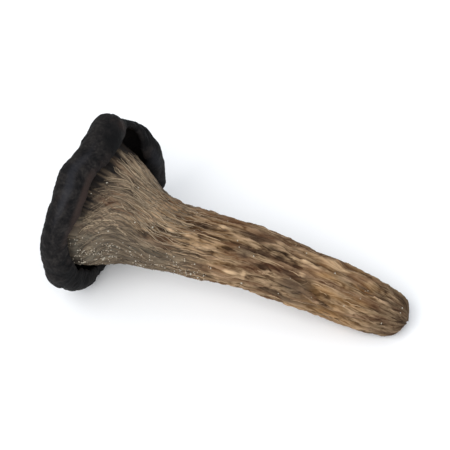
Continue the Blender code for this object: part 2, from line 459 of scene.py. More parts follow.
def through(points, at):
    """A smooth curve through points, where at counts the points from 0."""
    first = min(max(int(at), 0), len(points) - 2)
    share = at - first
    p1, p2 = points[first], points[first + 1]
    p0 = points[first - 1] if first > 0 else 2 * p1 - p2
    p3 = points[first + 2] if first + 2 < len(points) else 2 * p2 - p1
    return 0.5 * (
        2 * p1
        + (p2 - p0) * share
        + (2 * p0 - 5 * p1 + 4 * p2 - p3) * share**2
        + (3 * p1 - p0 - 3 * p2 + p3) * share**3
    )


def noise_round(turn, scale, lengthwise):
    """Smooth noise on the skin, without a seam: scale sets how fine it is round it."""
    angle = math.radians(turn)
    return noise.noise(Vector((math.cos(angle) * scale, math.sin(angle) * scale, lengthwise)))


def scroll_lobe(turn):
    """The values of SCROLL_LOBES at any turn, on a smooth curve through them."""
    at = (turn + 180.0) % 360.0 / 360.0 * len(SCROLL_LOBES)
    first = int(at)
    nearest = [SCROLL_LOBES[(first + step) % len(SCROLL_LOBES)] for step in (-1, 0, 1, 2)]
    return [through(values, 1.0 + at - first) for values in zip(*nearest)]


def skin_radius(along):
    """The skin's radius at a distance from the foot's tip, without its wrinkles."""
    if along < FOOT_LENGTH:
        share = 1.0 - along / FOOT_LENGTH
        return SKIN_RADII[0][1] * math.sqrt(max(1.0 - share * share, 0.0))
    station = 0
    while station < len(SKIN_RADII) - 2 and along > SKIN_RADII[station + 1][0]:
        station += 1
    low, high = SKIN_RADII[station][0], SKIN_RADII[station + 1][0]
    return through([radius for _, radius in SKIN_RADII], station + (along - low) / (high - low))


def wander(turn, along):
    """How far the wrinkles drift round the skin, in degrees."""
    return math.degrees(0.5 * noise_round(turn, 1.0, along / WRINKLE_LENGTH))


def wrinkles(turn, along, radius):
    """The height of the lengthwise wrinkles, which grow in number up the funnel."""
    lengthwise = along / WRINKLE_LENGTH
    drift = wander(turn, along)
    few = skin_radius(SKIN_RADII[4][0]) / WRINKLE_WIDTH
    height = 0.0
    grown = ease(radius, *FORK_RADII)
    for scale, share in ((few, 1.0 - grown), (FORKED * few, grown)):
        height += share * (0.5 - 1.8 * abs(noise_round(turn + drift, scale, lengthwise + scale)))
    return WRINKLE_HEIGHT * height


def flutes(turn, along):
    """The broad folds of the funnel, which both sides of the wall share."""
    grown = 0.4 + 0.9 * ease(along, BELL_FROM, FUNNEL_ENDS)
    return FLUTE_HEIGHT * grown * 1.6 * noise_round(turn, 1.7, along / 30.0 + 7.0)


def pucker(turn, along):
    """The gathered folds of the foot's end."""
    return FOOT_PUCKER * ease(-along, -9.0, -1.0) * math.cos(math.radians(5.0 * turn + 40.0))


def frame_at(along):
    """(centre, forward, up, side) of the section at a distance from the foot's tip."""
    steps = len(SPINE) - 1
    reach = min(along, MOUTH_AT)
    at = reach / MOUTH_AT * steps
    ahead, behind = min(at + 0.05, steps), at - 0.05
    forward = (through(SPINE, ahead) - through(SPINE, behind)).normalized()
    up = (Vector((0.0, 0.0, 1.0)) - forward * forward.z).normalized()
    side = forward.cross(up)
    bent = ease(reach, BELL_FROM, MOUTH_AT)
    nod, swing = math.radians(BELL_NOD) * bent, math.radians(BELL_SWING) * bent
    forward, up = (
        forward * math.cos(nod) - up * math.sin(nod),
        up * math.cos(nod) + forward * math.sin(nod),
    )
    forward, side = (
        forward * math.cos(swing) - side * math.sin(swing),
        side * math.cos(swing) + forward * math.sin(swing),
    )
    return through(SPINE, at), forward, up, side


def placed(along, radius, turn, section):
    """The point at a radius and turn, in the plane of the section at a distance along."""
    centre, forward, up, side = frame_at(section)
    angle = math.radians(turn)
    return centre + forward * (along - section) + radius * (math.cos(angle) * up + math.sin(angle) * side)


def settled(point, depth=0.0):
    """The flesh gives where it rests, which leaves small flats at Z = 0."""
    return Vector((point.x, point.y, max(point.z, depth)))


def funnel_point(turn, along, depth, height=0.0):
    """A point of the wall below the scroll, at a depth under the skin."""
    advance, spread = scroll_lobe(turn)[:2]
    bell = ease(along, BELL_FROM, MOUTH_AT)
    radius = skin_radius(along) + spread * bell + flutes(turn, along) - depth + height
    at = along + advance * bell
    return settled(placed(at, radius, turn, min(at, MOUTH_AT)), depth)


def scroll_point(turn, angle, side):
    """A point of the scroll: side is -1 on the skin, 0 at the brim's edge, 1 inside."""
    advance, spread, curl = scroll_lobe(turn)[:3]
    crimped = ease(angle, SCROLL_STARTS, 120.0)
    curl += CRIMP_HEIGHT * noise_round(turn, 5.0, angle / 60.0) * crimped + side * WALL_BRIM / 2.0
    bearing = math.radians(angle)
    along = MOUTH_AT + advance + curl * math.sin(bearing)
    radius = SCROLL_RADIUS + spread - curl * math.cos(bearing)
    return settled(placed(along, radius, turn, MOUTH_AT), (1 - side) * WALL_BRIM / 2.0)


def skin_height(turn, along):
    """The height of wrinkles and pucker on the skin, faded out at both its ends."""
    faded = span(along, 0.0, 5.0, FUNNEL_ENDS - 4.0, FUNNEL_ENDS + 6.0)
    height = faded * wrinkles(turn, along, skin_radius(along)) + pucker(turn, along)
    return height * min(1.0, along)


def scroll_edge(turn, ragged):
    """The angle round the curl at which the brim's ragged edge ends."""
    waves = noise_round(turn, 4.0, 3.0) + 0.6 * noise_round(turn, 13.0, 9.0)
    return scroll_lobe(turn)[3] + ragged * waves


def scroll_reach(angle):
    """The distance along the profile at an angle round the curl."""
    return FUNNEL_ENDS + CURL_RADIUS * math.radians(angle)


def marked(turn, along, radius):
    """(shares of the three kinds of mark, height in millimetres) at a place on the skin."""
    shares = [0.0, 0.0, 0.0]
    height = 0.0
    warp = 0.7 * noise_round(turn, 9.0, along / 2.5)
    for kind, middle, at_turn, half_length, half_width, raised in MARKS:
        lengthwise = (along - middle) / half_length + 0.6 * warp
        across = math.radians(apart(turn, at_turn)) * radius / half_width + warp
        away = lengthwise * lengthwise + across * across
        share = math.exp(-away * away)
        shares[kind] = max(shares[kind], share)
        height += raised * share
    return shares, height


def grain_turn(turn, along):
    """The turn that the fibres through a place have at the foot: they bend up the funnel."""
    lower = ease(facing(turn, BEND_TURN), 0.2, 1.0)
    bend = BEND_OVER * ease(along, BEND_FROM, BEND_AT) + BEND_BACK * ease(along, BEND_AT, BEND_TO)
    return turn - bend * lower


def skin_tints(turn, along):
    """(darkening, bloom, warmth) of the skin: how black it is next to the curl, as painted shade under the
    curl and partly its own darker margin, how grey-olive and how orange it is.
    """
    lower = facing(turn, BLOOM_TURN)
    streaky = 2.5 * noise_round(turn, 6.0, along / 9.0)
    streaky += 3.0 * noise_round(turn, 24.0, along / 12.0)
    edge = SHADE_AND_DARKENING_TO + 5.0 * ease(lower, 0.3, 1.0) + streaky
    patchy = 0.5 + 0.9 * noise_round(turn, 5.0, along / 5.0)
    bloom = ease(lower, *BLOOM_SIDE) * ease(along, *FUNNEL_SKIN) * min(1.0, 0.5 + patchy)
    warmth = (span(along, *WARM_BAND) + 0.5 * span(along, *LESS_WARM_BAND)) * patchy
    return ease(along, edge - SHADE_AND_DARKENING_FADE, edge), bloom, min(max(warmth, 0.0), 1.0)


def rusted_and_shaded(turn, along):
    """How much of a dark red-brown the skin shows: in patches of its own colour, and on its far side,
    where it is painted shade and partly its own colour.
    """
    patches = ease(noise_round(turn + 40.0, 4.5, along / 7.0), 0.0, 0.3)
    far = ease(facing(turn, RUST_AND_SHADE_TURN), *RUST_AND_SHADE_SIDE) * span(along, *RUST_AND_SHADE_BAND)
    return min(1.0, 0.75 * patches + 0.8 * far * (0.7 + noise_round(turn, 7.0, along / 4.0)))


def litter(turn, along):
    """(soil, flakes) that cling to the skin at a place, as shares of their densities."""
    full, gone = SOIL_TO
    soil = ease(-along - 6.0 * noise_round(turn, 4.0, along / 4.0), -gone, -full)
    lower = ease(facing(turn, FLAKY_TURN), *FLAKY_SIDE) * ease(along, *FLAKES_FROM)
    flakes = lower * ease(noise_round(turn, 6.0, along / 4.0), -0.3, 0.3)
    return soil + STRAY_SOIL, flakes + STRAY_FLAKES


Cell = namedtuple("Cell", "point place region wrinkle marks tints rust litter")
BARE = (0.0, 0.0, 0.0)


def cell(point, turn, reach, region, wrinkle=0.0, marks=BARE, tints=BARE, rust=0.0, clings=(0.0, 0.0)):
    """A point of the loft, with what its relief and material read there."""
    angle = math.radians(turn)
    place = (math.cos(angle), math.sin(angle), reach)
    return Cell(point, place, region, wrinkle, marks, tints, rust, (*clings, 0.0))


def skin_cells(turn, lattice):
    """A column of the skin, from the foot's tip to where the scroll starts."""
    step = (FUNNEL_ENDS - FOOT_LENGTH) / lattice.funnel_rows
    bearings = [math.radians(90.0 * row / FOOT_ROWS) for row in range(1, FOOT_ROWS)]
    alongs = [FOOT_LENGTH * (1.0 - math.cos(bearing)) for bearing in bearings]
    alongs += [FOOT_LENGTH + step * row for row in range(lattice.funnel_rows + 1)]
    cells = []
    for along in alongs:
        radius = skin_radius(along)
        height = skin_height(turn, along)
        shares, raised = marked(turn, along, radius)
        flare = ease(radius, *FLARE_RADII)
        point = funnel_point(turn, along, 0.0, height + raised)
        tints, rust, clings = skin_tints(turn, along), rusted_and_shaded(turn, along), litter(turn, along)
        grain = grain_turn(turn, along)
        region = (1.0 - flare, flare, 0.0)
        cells.append(cell(point, grain, along, region, height, shares, tints, rust, clings))
    return cells


def scroll_cells(turn, lattice):
    """A column round the curl: its skin, its edge, and back on its black side."""
    edge = scroll_edge(turn, lattice.ragged)
    brown_from, brown_at = (edge - degrees for degrees in BROWN_FROM_EDGE)
    curl = scroll_lobe(turn)[2]
    half = lattice.scroll_rows // 2
    grain = grain_turn(turn, FUNNEL_ENDS)
    cells = []
    for row in range(half + 1):
        angle = SCROLL_STARTS + (edge - SCROLL_STARTS) * row / half
        point = scroll_point(turn, angle, -1)
        # The skin side inside the curl is black all over: painted shade in the curl, partly the skin's own
        # darker margin
        cells.append(cell(point, grain, scroll_reach(angle), (0.0, 1.0, 0.0), tints=(1.0, 0.0, 0.0)))
    for row in range(1, EDGE_ROWS + 1):
        round_edge = math.pi * row / (EDGE_ROWS + 1)
        angle = edge + math.degrees(WALL_BRIM / 2.0 / curl) * math.sin(round_edge)
        point = scroll_point(turn, angle, -math.cos(round_edge))
        cells.append(cell(point, turn, scroll_reach(angle), (0.0, 0.0, 1.0)))
    for row in range(lattice.scroll_rows + 1):
        angle = edge - (edge - SCROLL_STARTS) * row / lattice.scroll_rows
        point = scroll_point(turn, angle, 1)
        reach = 2.0 * scroll_reach(edge) - scroll_reach(angle)
        rust = browned(turn) * ease(angle, brown_from, brown_at)
        cells.append(cell(point, turn, reach, (0.0, 0.0, 1.0), marks=shaded(turn, angle), rust=rust))
    return cells


def browned(turn):
    """How brown the curl's edge is at a turn."""
    away = abs(apart(turn, BROWN_TURN)) / BROWN_HALF
    return ease(-away, -1.2, -0.7)


def shaded(turn, angle):
    """(painted shade, painted sheen, umber) of the curl's black side at a turn and an angle round the
    curl.
    """
    shares = [0.0, 0.0, 0.0]
    for kind, at_turn, at_angle, half_turn, half_angle in BRIM_MARKS:
        across = apart(turn, at_turn) / half_turn
        round_curl = (angle - at_angle) / half_angle + 0.4 * noise_round(turn, 7.0, angle / 40.0)
        away = across * across + round_curl * round_curl
        shares[kind] = max(shares[kind], math.exp(-away * away))
    return shares


def inside_cells(turn, lattice):
    """A column of the black side, from the scroll down to the hollow's blind end."""
    turned = 2.0 * scroll_reach(scroll_edge(turn, lattice.ragged))
    step = (FUNNEL_ENDS - HOLLOW_FROM - HOLLOW_END) / (lattice.inside_rows - 1)
    cells = []
    for row in range(lattice.inside_rows):
        along = FUNNEL_ENDS - step * row
        wall = WALL_STEM + (WALL_BRIM - WALL_STEM) * ease(along, WALL_THINS, FUNNEL_ENDS)
        cells.append(cell(funnel_point(turn, along, wall), turn, turned - along, (0.0, 0.0, 1.0)))
    for bearing in BLIND_BEARINGS:
        angle = math.radians(bearing)
        along = HOLLOW_FROM + HOLLOW_END * (1.0 - math.sin(angle))
        room = skin_radius(along) - WALL_STEM
        point = placed(along, room * math.cos(angle), turn, along)
        cells.append(cell(point, turn, turned - along, (0.0, 0.0, 1.0)))
    return cells


def own_origin(points):
    """What the form's millimetres are moved by, so that its box lies as its solid's does."""
    low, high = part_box(NODE)
    middle = (low + high) / 2.0 / MM
    xs = [point.x for point in points]
    ys = [point.y for point in points]
    return Vector(((min(xs) + max(xs)) / 2.0 - middle.x, (min(ys) + max(ys)) / 2.0 - middle.y, 0.0))


def store(mesh, name, values):
    """Stores numbers or vectors as an attribute on a mesh's points."""
    vectors = isinstance(values[0], (tuple, list))
    attribute = mesh.attributes.new(name, "FLOAT_VECTOR" if vectors else "FLOAT", "POINT")
    flat = [number for value in values for number in value] if vectors else values
    attribute.data.foreach_set("vector" if vectors else "value", flat)


def loft_flesh(lattice):
    """The fine closed shell, with the attributes that its relief and material read."""
    count = lattice.columns
    turns = [360.0 * column / count for column in range(count)]
    columns = [
        skin_cells(turn, lattice) + scroll_cells(turn, lattice) + inside_cells(turn, lattice)
        for turn in turns
    ]
    rings = list(zip(*columns))
    foot_tip = rings[0][0]._replace(point=frame_at(0.0)[0], place=BARE)
    hollow_tip = rings[-1][0]._replace(point=frame_at(HOLLOW_FROM)[0])
    cells = [each for ring in rings for each in ring] + [foot_tip, hollow_tip]
    origin = own_origin([each.point for each in cells])
    first, last = len(cells) - 2, len(cells) - 1
    end = (len(rings) - 1) * count
    faces = []
    for column in range(count):
        after = (column + 1) % count
        faces.append((first, after, column))
        faces.append((last, end + column, end + after))
        for low in range(0, end, count):
            high = low + count
            faces.append((low + column, low + after, high + after, high + column))
    mesh = bpy.data.meshes.new(TRUMPET)
    mesh.from_pydata([(each.point - origin) * MM for each in cells], [], faces)
    for name in Cell._fields[1:]:
        store(mesh, name, [getattr(each, name) for each in cells])
    mesh.shade_smooth()
    return mesh, origin


def add(tree, kind, inputs=None, output=0, stops=(), **settings):
    """Adds a node with its settings, values and links, and returns one of its outputs.

    A socket of another node becomes a link. Stops are a colour ramp's places and
    colours. With no output named, all are returned."""
    node = tree.nodes.new(kind)
    for name, value in settings.items():
        setattr(node, name, value)
    for name, value in (inputs or {}).items():
        if isinstance(value, bpy.types.NodeSocket):
            tree.links.new(value, node.inputs[name])
        else:
            node.inputs[name].default_value = value
    for at, (place, colour) in enumerate(stops):
        if at < len(node.color_ramp.elements):
            element = node.color_ramp.elements[at]
            element.position = place
        else:
            element = node.color_ramp.elements.new(place)
        element.color = colour
    return node.outputs if output is None else node.outputs[output]


# The sockets of a Mix node that are for colours come after those for its other types
MIX_A, MIX_B, MIX_RESULT = 6, 7, 2

# What each layer of relief is raised on, its form, and whether the colour follows it
RELIEF_LAYERS = [
    ("stem_fibres", "stem", "ridge", True),
    ("stem_threads", "stem", "ridge", True),
    ("stem_grooves", "stem", "groove", True),
    ("stem_creases", "stem", "ridge", True),
    ("stem_nubs", "stem", "swell", True),
    ("stem_dents", "stem", "swell", False),
    ("flare_fibres", "flare", "ridge", True),
    ("flare_threads", "flare", "ridge", True),
    ("flare_grooves", "flare", "groove", True),
    ("flare_dents", "flare", "swell", False),
    ("lining_dents", "lining", "swell", False),
    ("lining_knobs", "lining", "swell", True),
    ("lining_creases", "lining", "ridge", True),
    ("lining_grain", "lining", "swell", True),
    ("stem_cracks", "stem", "crack", True),
]
REGIONS = {"stem": (0, 7.5), "flare": (1, 13.0), "lining": (2, 18.6)}

# How noise becomes a form: folded at its middle or not, then mapped from two values
FORMS = {
    "ridge": (True, 0.0, 0.13, 1.0, -1.0),
    "groove": (False, 0.60, 0.70, 0.0, -1.0),
    "swell": (False, 0.3, 0.7, -1.0, 1.0),
    "crack": (True, 0.0, 0.035, -1.0, 0.0),
}

# The fibres drift round the skin on slow noise, and each layer reads its own noise
DRIFT_SCALE = (1.8, 1.8, 0.1)
DRIFT_BY = (0.2, 0.2, 3.0)
LAYERS_APART = 31.0

# How much of the solid's wrinkles the colour follows, and what its tone is made of
WRINKLE_SHOWS = 0.3
RELIEF_SHOWS = 0.9
BROAD_SHOWS = 0.8
FINE_SHOWS = 1.0
TONE_FROM = -0.42


def new_tree(name, **sockets):
    """A Geometry Nodes tree, and the sockets inside it that its inputs come from."""
    tree = bpy.data.node_groups.new(name, "GeometryNodeTree")
    for label, kind in {"Geometry": "Geometry", **sockets}.items():
        tree.interface.new_socket(label, in_out="INPUT", socket_type="NodeSocket" + kind)
    tree.interface.new_socket("Geometry", in_out="OUTPUT", socket_type="NodeSocketGeometry")
    return tree, tree.nodes.new("NodeGroupInput").outputs


def relief_tree(relief, material):
    """Raises every layer of relief along the normals, and stores its height in mm."""
    labels = {name: relief.bl_rna.properties[name].name for name, _, _, _ in RELIEF_LAYERS}
    tree, given = new_tree("flesh_relief", **{label: "Vector" for label in labels.values()})
    place = add(tree, "GeometryNodeInputNamedAttribute", {"Name": "place"}, data_type="FLOAT_VECTOR")
    region = add(tree, "GeometryNodeInputNamedAttribute", {"Name": "region"}, data_type="FLOAT_VECTOR")
    wrinkle = add(tree, "GeometryNodeInputNamedAttribute", {"Name": "wrinkle"}, data_type="FLOAT")
    shares = add(tree, "ShaderNodeSeparateXYZ", {0: region}, output=None)
    slow = add(tree, "ShaderNodeVectorMath", {0: place, 1: DRIFT_SCALE}, operation="MULTIPLY")
    drift = {"Vector": slow, "Scale": 1.0, "Detail": 2.5, "Roughness": 0.5}
    drift = add(tree, "ShaderNodeTexNoise", drift, output="Color")
    drift = add(tree, "ShaderNodeVectorMath", {0: drift, 1: (0.5, 0.5, 0.5)}, operation="SUBTRACT")
    drift = add(tree, "ShaderNodeVectorMath", {0: drift, 1: DRIFT_BY}, operation="MULTIPLY")
    place = add(tree, "ShaderNodeVectorMath", {0: place, 1: drift}, operation="ADD")
    total = coloured = 0.0
    for at, (name, where, form, shows) in enumerate(RELIEF_LAYERS):
        channel, radius = REGIONS[where]
        size = given[labels[name]]
        width, length, height = add(tree, "ShaderNodeSeparateXYZ", {0: size}, output=None)
        round_scale = add(tree, "ShaderNodeMath", {0: radius * MM, 1: width}, operation="DIVIDE")
        long_scale = add(tree, "ShaderNodeMath", {0: MM, 1: length}, operation="DIVIDE")
        scale = add(tree, "ShaderNodeCombineXYZ", {0: round_scale, 1: round_scale, 2: long_scale})
        far_off = (0.0, 0.0, LAYERS_APART * at)
        at_layer = {0: place, 1: scale, 2: far_off}
        at_layer = add(tree, "ShaderNodeVectorMath", at_layer, operation="MULTIPLY_ADD")
        grown = add(tree, "ShaderNodeTexNoise", {"Vector": at_layer, "Scale": 1.0, "Detail": 1.5})
        folded, low, high, at_low, at_high = FORMS[form]
        if folded:
            grown = add(tree, "ShaderNodeMath", {0: grown, 1: 0.5}, operation="SUBTRACT")
            grown = add(tree, "ShaderNodeMath", {0: grown}, operation="ABSOLUTE")
        grown = {"Value": grown, "From Min": low, "From Max": high, "To Min": at_low, "To Max": at_high}
        grown = add(tree, "ShaderNodeMapRange", grown, interpolation_type="SMOOTHSTEP")
        share = add(tree, "ShaderNodeMath", {0: shares[channel], 1: height}, operation="MULTIPLY")
        total = add(tree, "ShaderNodeMath", {0: grown, 1: share, 2: total}, operation="MULTIPLY_ADD")
        if shows:
            seen = {0: grown, 1: share, 2: coloured}
            coloured = add(tree, "ShaderNodeMath", seen, operation="MULTIPLY_ADD")
    normal = add(tree, "GeometryNodeInputNormal")
    offset = add(tree, "ShaderNodeVectorMath", {0: normal, "Scale": total}, operation="SCALE")
    raised = {"Geometry": given["Geometry"], "Offset": offset}
    raised = kept_above(tree, add(tree, "GeometryNodeSetPosition", raised), 0.0)
    worn = add(tree, "ShaderNodeMath", {0: wrinkle, 1: WRINKLE_SHOWS}, operation="MULTIPLY")
    in_mm = add(tree, "ShaderNodeMath", {0: coloured, 1: 1.0 / MM, 2: worn}, operation="MULTIPLY_ADD")
    for name, value, kind in (("relief", in_mm, "FLOAT"), ("place", place, "FLOAT_VECTOR")):
        kept = {"Geometry": raised, "Name": name, "Value": value}
        raised = add(tree, "GeometryNodeStoreNamedAttribute", kept, data_type=kind, domain="POINT")
    end_tree(tree, add(tree, "GeometryNodeRealizeInstances", {"Geometry": raised}), material)
    return tree, {labels[name]: tuple(getattr(relief, name)) for name in labels}


def kept_above(tree, geometry, lowest):
    """Geometry with the points that are below a height raised to it."""
    position = add(tree, "GeometryNodeInputPosition")
    limit = {0: position, 1: (-1.0, -1.0, lowest)}
    limit = add(tree, "ShaderNodeVectorMath", limit, operation="MAXIMUM")
    return add(tree, "GeometryNodeSetPosition", {"Geometry": geometry, "Position": limit})


def end_tree(tree, geometry, material):
    """Ends a Geometry Nodes tree: the geometry takes its material and goes out."""
    dressed = add(tree, "GeometryNodeSetMaterial", {"Geometry": geometry, "Material": material})
    tree.links.new(dressed, tree.nodes.new("NodeGroupOutput").inputs[0])


def grow(piece, tree, values):
    """Runs a tree on a piece and leaves its result as the piece's plain mesh."""
    modifier = piece.modifiers.new(tree.name, "NODES")
    modifier.node_group = tree
    for socket in tree.interface.items_tree:
        if socket.item_type == "SOCKET" and socket.in_out == "INPUT" and socket.name in values:
            modifier[socket.identifier] = values[socket.name]
    evaluated = piece.evaluated_get(bpy.context.evaluated_depsgraph_get())
    mesh = bpy.data.meshes.new_from_object(evaluated)
    mesh.name = piece.name
    piece.modifiers.remove(modifier)
    piece.data = mesh


# Streaks and patches of the skin's colour and of the black side's, each as a width and a
# length in millimetres, and the tones at which the skin's five tints stand
BROAD_STREAKS = (1.8, 7.0)
FINE_STREAKS = (0.4, 3.5)
MOTTLES = (1.0, 2.2)
NAP_GRAIN = (0.6, 0.6)
NAP_PATCHES = (6.0, 6.0)
TINT_TONES = (0.05, 0.3, 0.52, 0.76, 1.0)

# The noise at which mottles and brown patches start and are full, how much the black
# side's tone follows its relief, and how rough the flesh is as it grew and where rubbed
MOTTLE_NOISE = {"From Min": 0.49, "From Max": 0.58}
PATCH_NOISE = {"From Min": 0.52, "From Max": 0.75}
NAP_SHOWS = 1.4
MATT = 0.8
RUBBED = 0.5

# The sizes of the mottles on fibrils and of the specks on grit, in millimetres
FIBRIL_MOTTLE = 1.5
SOIL_SPECK = 0.3
FLAKE_SPECK = 0.4


def new_material(name, roughness, specular):
    """(material, tree, shader) of a new material, as rough and as shiny as is given."""
    material = bpy.data.materials.new(name)
    material.use_nodes = True
    shader = material.node_tree.nodes["Principled BSDF"]
    shader.inputs["Roughness"].default_value = roughness
    shader.inputs["Specular IOR Level"].default_value = specular
    return material, material.node_tree, shader


def drawn_out(tree, place, radius, width, length):
    """Noise drawn out along the fibres: how wide and long its streaks are, in millimetres."""
    scale = (radius / width, radius / width, 1.0 / length)
    at = add(tree, "ShaderNodeVectorMath", {0: place, 1: scale}, operation="MULTIPLY")
    return add(tree, "ShaderNodeTexNoise", {"Vector": at, "Scale": 1.0, "Detail": 4.0, "Roughness": 0.6})


def laid_over(tree, below, above, share, strength):
    """One colour over another, where a share says so and as strongly as it may."""
    share = add(tree, "ShaderNodeMath", {0: share, 1: strength}, operation="MULTIPLY")
    mixed = {"Factor": share, MIX_A: below, MIX_B: above}
    return add(tree, "ShaderNodeMix", mixed, MIX_RESULT, data_type="RGBA")


def fibrous(tree, place, relief, radius, tints):
    """(colour, fine streaks) of fibrous skin: pale on its ridges and dark in its grooves."""
    broad = drawn_out(tree, place, radius, *BROAD_STREAKS)
    fine = drawn_out(tree, place, radius, *FINE_STREAKS)
    tone = TONE_FROM
    for part, shows in ((relief, RELIEF_SHOWS), (broad, BROAD_SHOWS), (fine, FINE_SHOWS)):
        tone = add(tree, "ShaderNodeMath", {0: part, 1: shows, 2: tone}, operation="MULTIPLY_ADD")
    stops = list(zip(TINT_TONES, tints))
    return add(tree, "ShaderNodeValToRGB", {"Fac": tone}, stops=stops), fine


def channels(tree, name):
    """The three channels of a vector attribute."""
    attribute = add(tree, "ShaderNodeAttribute", attribute_name=name, output="Vector")
    return add(tree, "ShaderNodeSeparateXYZ", {0: attribute}, output=None)


def dried_flesh(colours):
    """Trumpet flesh, dried in air: fibrous brown skin, and a black velvety side.

    It is matt, because dry fibres scatter the light. Fibres that stand up are bleached
    and the grooves between them keep the dark, which reads as weathered wood. The black
    side is a nap of granules, so it shows as charcoal and hardly shines."""
    material, tree, shader = new_material("air_dried_trumpet_flesh", roughness=MATT, specular=0.1)
    place = add(tree, "ShaderNodeAttribute", attribute_name="place", output="Vector")
    relief = add(tree, "ShaderNodeAttribute", attribute_name="relief", output="Fac")
    rust = add(tree, "ShaderNodeAttribute", attribute_name="rust", output="Fac")
    _, flare, lining = channels(tree, "region")
    first, highlight_and_wear, third = channels(tree, "marks")
    shade_and_darkening, bloom, warmth = channels(tree, "tints")
    soiled, flaky, _ = channels(tree, "litter")
    on_stem, on_flare, on_lining = (radius for _, radius in REGIONS.values())

    tints = (colours.groove, colours.bark, colours.tan, colours.straw, colours.cream)
    stem, fine = fibrous(tree, place, relief, on_stem, tints)
    shades = ("flare_deep", "flare_dark", "flare", "flare_pale", "flare_cream")
    tints = [getattr(colours, shade) for shade in shades]
    funnel, fine_up = fibrous(tree, place, relief, on_flare, tints)
    mottle = {"Value": drawn_out(tree, place, on_flare, *MOTTLES), **MOTTLE_NOISE}
    mottle = add(tree, "ShaderNodeMapRange", mottle, interpolation_type="SMOOTHSTEP")
    mottle = add(tree, "ShaderNodeMath", {0: mottle, 1: flaky}, operation="MULTIPLY")
    # The pale marks on the fine streaks: partly worn streaks, partly painted highlight
    worn = add(tree, "ShaderNodeMath", {0: highlight_and_wear, 1: fine}, operation="MULTIPLY")
    colour = stem
    for above, share, strength in (
        (colours.ochre, warmth, 0.45),
        (funnel, flare, 1.0),
        # Rust: patches of the skin's own red-brown, and on the stem's far side partly painted shade
        (colours.rust, rust, 0.62),
        (colours.olive, bloom, 0.7),
        (colours.soil, soiled, 0.5),
        (colours.flare_deep, mottle, 0.8),
        (colours.flare_dark, third, 0.6),
        # Cream on the pale marks: partly painted highlight, partly worn streaks
        (colours.cream, worn, 1.25),
        (colours.groove, first, 0.7),
        # Velvet next to the curl: painted shade under it, partly the skin's own darker margin
        (colours.velvet, shade_and_darkening, 0.97),
    ):
        colour = laid_over(tree, colour, above, share, strength)

    grain = drawn_out(tree, place, on_lining, *NAP_GRAIN)
    nap = add(tree, "ShaderNodeMath", {0: relief, 1: NAP_SHOWS, 2: grain}, operation="MULTIPLY_ADD")
    nap_stops = [(0.25, colours.char), (0.5, colours.velvet), (0.85, colours.nap)]
    black = add(tree, "ShaderNodeValToRGB", {"Fac": nap}, stops=nap_stops)
    brown = {"Value": drawn_out(tree, place, on_lining, *NAP_PATCHES), **PATCH_NOISE}
    brown = add(tree, "ShaderNodeMapRange", brown, interpolation_type="SMOOTHSTEP")
    for above, share, strength in (
        (colours.umber, brown, 0.5),
        (colours.umber, third, 0.8),
        (colours.umber, rust, 0.65),
        # A painted bluish sheen
        (colours.sheen, highlight_and_wear, 0.4),
        # Char as painted shade where the curl is deep
        (colours.char, first, 0.95),
    ):
        black = laid_over(tree, black, above, share, strength)
    colour = laid_over(tree, colour, black, lining, 1.0)
    tree.links.new(colour, shader.inputs["Base Color"])

    rough = add(tree, "ShaderNodeMapRange", {"Value": highlight_and_wear, "To Min": MATT, "To Max": RUBBED})
    tree.links.new(rough, shader.inputs["Roughness"])
    weave = add(tree, "ShaderNodeMix", {"Factor": flare, "A": fine, "B": fine_up})
    weave = add(tree, "ShaderNodeMix", {"Factor": lining, "A": weave, "B": grain})
    normal = add(tree, "ShaderNodeBump", {"Height": weave, "Strength": 0.6, "Distance": 0.3 * MM})
    tree.links.new(normal, shader.inputs["Normal"])
    return material


def fibril_felt(colours):
    """Loose fibrils of the dried skin: matt threads, bleached at random.

    Each keeps one tone, so they show as separate hairs on the skin."""
    material, tree, shader = new_material("bleached_fibrils", roughness=0.7, specular=0.3)
    tone, flare, _ = channels(tree, "hue")
    on_stem, on_flare = (
        add(tree, "ShaderNodeValToRGB", {"Fac": tone}, stops=[(0.0, dark), (1.0, pale)])
        for dark, pale in ((colours.bark, colours.cream), (colours.flare_dark, colours.flare_cream))
    )
    colour = laid_over(tree, on_stem, on_flare, flare, 1.0)
    where = add(tree, "ShaderNodeTexCoord", output="Object")
    mottled = {"Vector": where, "Scale": 1.0 / (FIBRIL_MOTTLE * MM), "Detail": 2.0}
    mottled = add(tree, "ShaderNodeTexNoise", mottled)
    colour = laid_over(tree, colour, colours.groove, mottled, 0.35)
    tree.links.new(colour, shader.inputs["Base Color"])
    return material


def crumbled(name, tint, pale, grain):
    """Dry matter that clings to the skin in grains: matt, with paler specks on each."""
    material, tree, shader = new_material(name, roughness=0.85, specular=0.2)
    where = add(tree, "ShaderNodeTexCoord", output="Object")
    speckle = {"Vector": where, "Scale": 1.0 / (grain * MM), "Detail": 2.0}
    speckle = add(tree, "ShaderNodeTexNoise", speckle)
    colour = add(tree, "ShaderNodeValToRGB", {"Fac": speckle}, stops=[(0.35, tint), (0.65, pale)])
    tree.links.new(colour, shader.inputs["Base Color"])
    return material


def follow(turn, along, goal):
    """The turn at a distance along where the grain is the goal, starting near turn."""
    for _ in range(4):
        turn += (goal - grain_turn(turn, along)) * 0.8
    return turn


